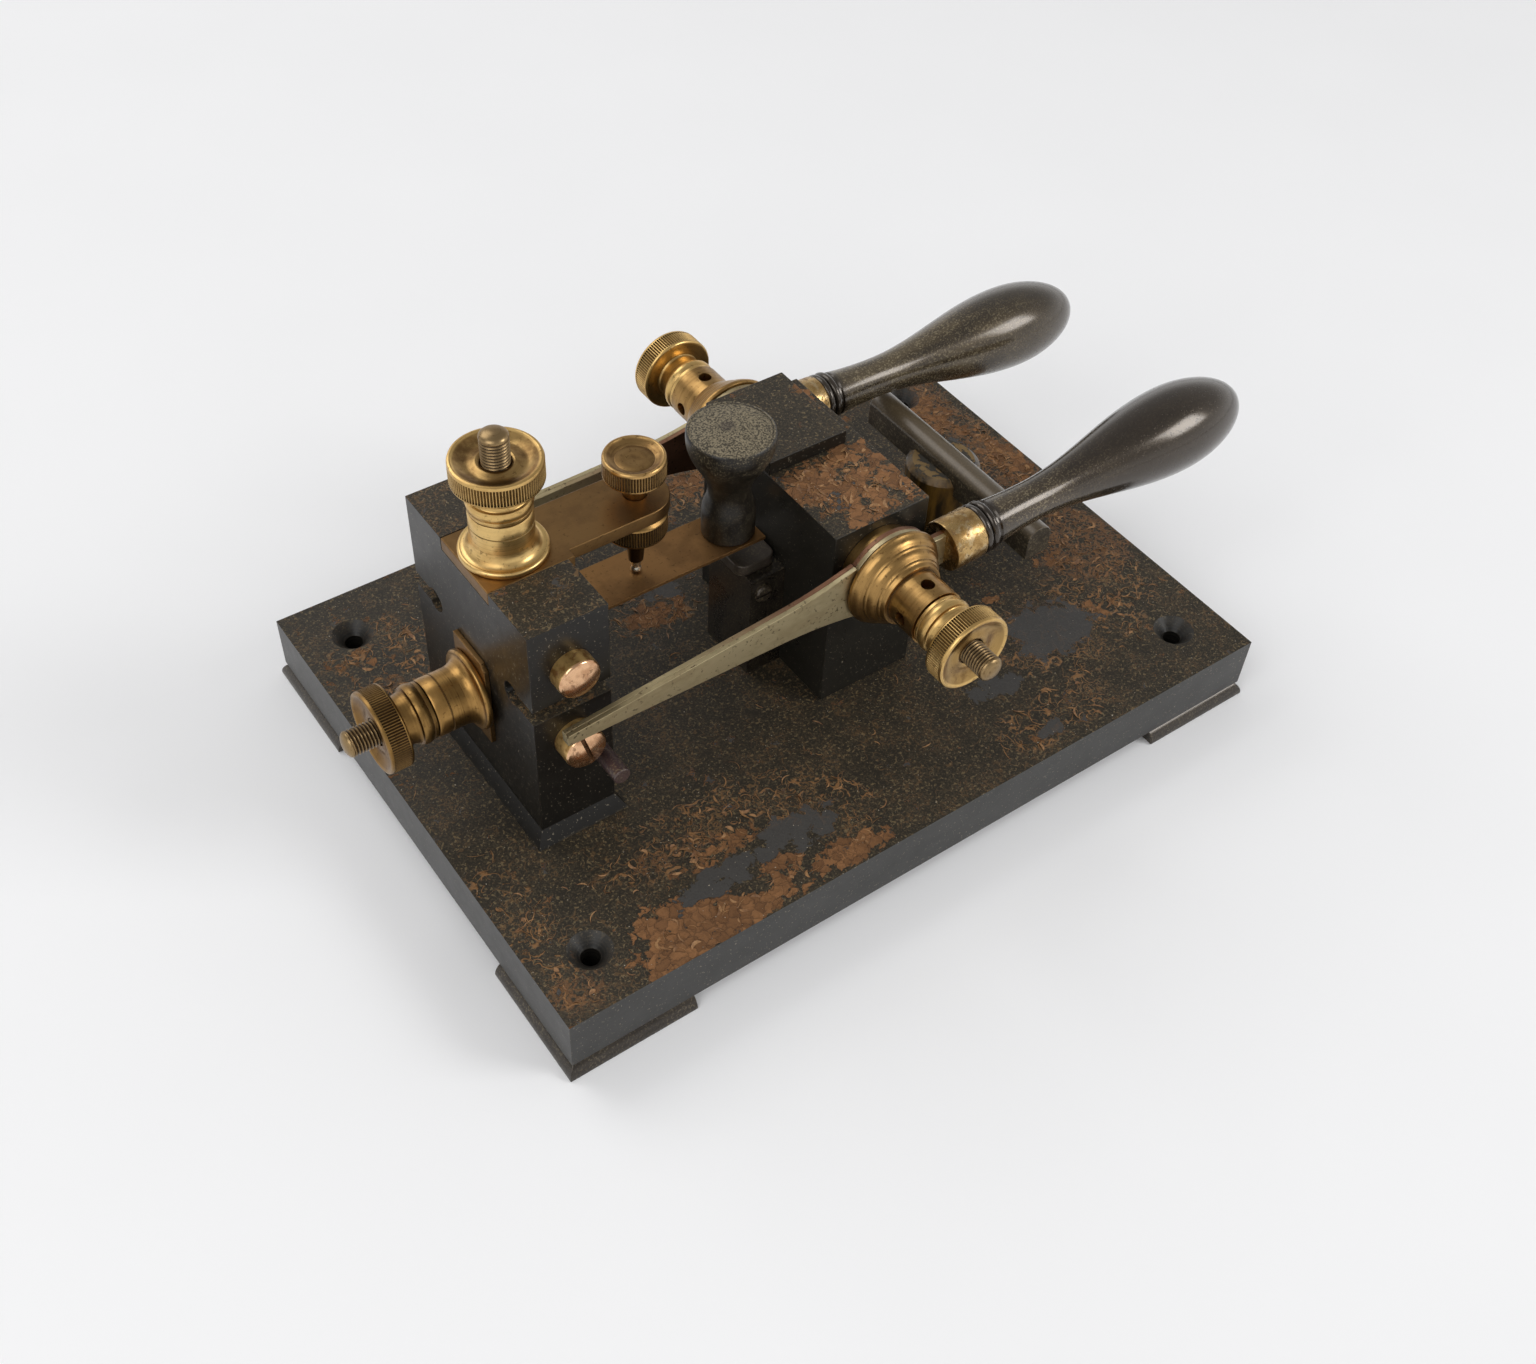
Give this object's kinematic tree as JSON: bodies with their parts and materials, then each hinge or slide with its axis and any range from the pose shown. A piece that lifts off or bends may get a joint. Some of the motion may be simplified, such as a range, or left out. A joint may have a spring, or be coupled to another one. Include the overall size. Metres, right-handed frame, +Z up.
{
  "type": "telegraph key",
  "caption": "Laboratory telegraph key: ebonite base with a pair of pivoted hand levers, contact block, binding posts and a spring push key with a round knob.",
  "frame": {"origin": "centre of the four screw holes, in the plane under the feet", "axes": "+X along the base towards the handles, +Y to the back, +Z up"},
  "size_m": [0.2302, 0.1414, 0.1137],
  "materials": {
    "ebonite_worn": "worn and crazed",
    "ebonite": "satin",
    "ebonite_turned": "polished",
    "brass": "aged lacquer",
    "dark_brass": "tarnished",
    "rosy_brass": "polished",
    "nickel_silver": "dull",
    "silver": "bright",
    "fibre": "dull",
    "brown_post": "satin"
  },
  "bodies": {
    "base": {"base_plate": "ebonite_worn", "contact_block": "ebonite_worn", "lever_block": "ebonite_worn", "corner_feet": "ebonite", "top_plate": "ebonite", "rest_pillar": "ebonite", "rest_plate": "ebonite", "rest_bar": "ebonite", "bridge_bar": "brass", "top_terminal_body": "brass", "left_terminal_plate": "brass", "left_terminal_body": "brass", "pillar_screw": "brass", "front_boss": "brass", "front_terminal_body": "brass", "rear_boss": "brass", "rear_terminal_body": "brass", "top_terminal_stud": "dark_brass", "left_terminal_stud": "dark_brass", "front_terminal_stud": "dark_brass", "rear_terminal_stud": "dark_brass", "block_screws": "dark_brass", "upper_contacts": "rosy_brass", "lower_contacts": "rosy_brass", "guard_pegs": "fibre", "rest_post": "brown_post"},
    "front_lever": {"front_blade_inner": "nickel_silver", "front_blade_outer": "nickel_silver", "front_ferrule": "brass", "front_handle": "ebonite_turned"},
    "rear_lever": {"rear_blade_inner": "nickel_silver", "rear_blade_outer": "nickel_silver", "rear_ferrule": "brass", "rear_handle": "ebonite_turned"},
    "push_key": {"spring_strip": "dark_brass", "knob": "ebonite_turned", "knob_screw": "brass"},
    "contact_screw": {"contact_screw": "brass", "contact_tip": "silver"},
    "lock_nut": {"lock_nut": "brass"},
    "top_terminal_nut": {"top_terminal_nut": "brass"},
    "left_terminal_nut": {"left_terminal_nut": "brass"},
    "front_terminal_nut": {"front_terminal_nut": "brass"},
    "rear_terminal_nut": {"rear_terminal_nut": "brass"}
  },
  "joints": [
    {"name": "front_lever_swing", "type": "hinge", "parent": "base", "child": "front_lever", "pos_m": [0.0089, 0, 0.0588], "axis": [0, 1, 0], "range_deg": [0, 5.2]},
    {"name": "rear_lever_swing", "type": "hinge", "parent": "base", "child": "rear_lever", "pos_m": [0.0089, 0, 0.0588], "axis": [0, 1, 0], "range_deg": [-4.2, 1]},
    {"name": "push_key_press", "type": "hinge", "parent": "base", "child": "push_key", "pos_m": [-0.0612, 0, 0.05975], "axis": [0, 1, 0], "range_deg": [0, 5.5], "stiffness_Nm_per_rad": 1.5, "springref_deg": -2.86},
    {"name": "contact_screw_turn", "type": "hinge", "parent": "base", "child": "contact_screw", "pos_m": [-0.0389, 0, 0.0828], "axis": [0, 0, 1], "continuous": true},
    {"name": "lock_nut_turn", "type": "hinge", "parent": "base", "child": "lock_nut", "pos_m": [-0.0389, 0, 0.076], "axis": [0, 0, 1], "continuous": true},
    {"name": "top_terminal_nut_turn", "type": "hinge", "parent": "base", "child": "top_terminal_nut", "pos_m": [-0.0706, 0, 0.1006], "axis": [0, 0, 1], "continuous": true},
    {"name": "left_terminal_nut_turn", "type": "hinge", "parent": "base", "child": "left_terminal_nut", "pos_m": [-0.1, 0, 0.0468], "axis": [-1, 0, 0], "continuous": true},
    {"name": "front_terminal_nut_turn", "type": "hinge", "parent": "base", "child": "front_terminal_nut", "pos_m": [0.0089, -0.054, 0.0588], "axis": [0, -1, 0], "continuous": true},
    {"name": "rear_terminal_nut_turn", "type": "hinge", "parent": "base", "child": "rear_terminal_nut", "pos_m": [0.0089, 0.054, 0.0588], "axis": [0, 1, 0], "continuous": true}
  ]
}
